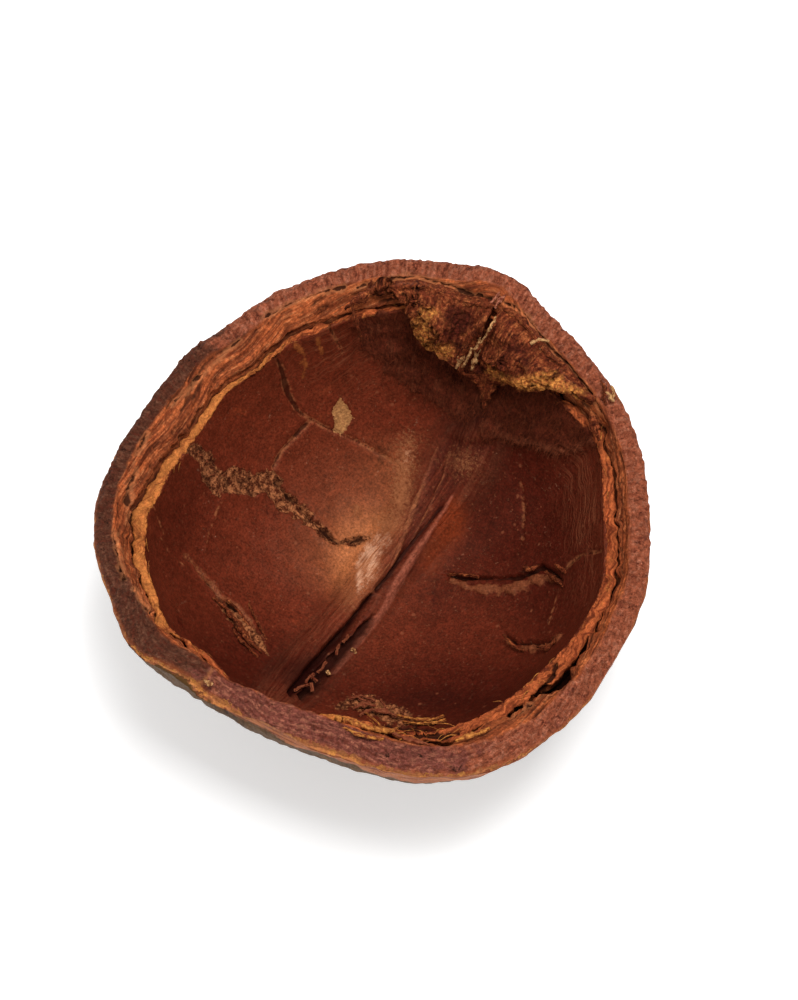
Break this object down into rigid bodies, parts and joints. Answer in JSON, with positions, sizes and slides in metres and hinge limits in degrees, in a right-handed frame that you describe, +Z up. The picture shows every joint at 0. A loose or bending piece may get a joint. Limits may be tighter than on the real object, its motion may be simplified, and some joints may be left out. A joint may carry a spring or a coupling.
{
  "type": "seed pod valve",
  "caption": "Woody bowl-shaped valve of a dried seed capsule, hollow side up, with a thick cut rim, a split smooth lining, a middle keel and torn tissue under its pointed stem end",
  "frame": {"origin": "middle of the valve's box, on the surface that it lies on", "axes": "+Z is up, out of the hollow side, and -Z leaves through the flat rest spot of the back; +Y points to the pointed stem end; +X is to the right of a viewer who faces the stem end"},
  "size_m": [0.094, 0.0946, 0.0452],
  "materials": {
    "dry_husk": "dry woody husk, granular red-brown rim, satin mahogany lining, rough olive-brown skin outside"
  },
  "bodies": {
    "root": {"pod_valve": "dry_husk"}
  },
  "joints": []
}
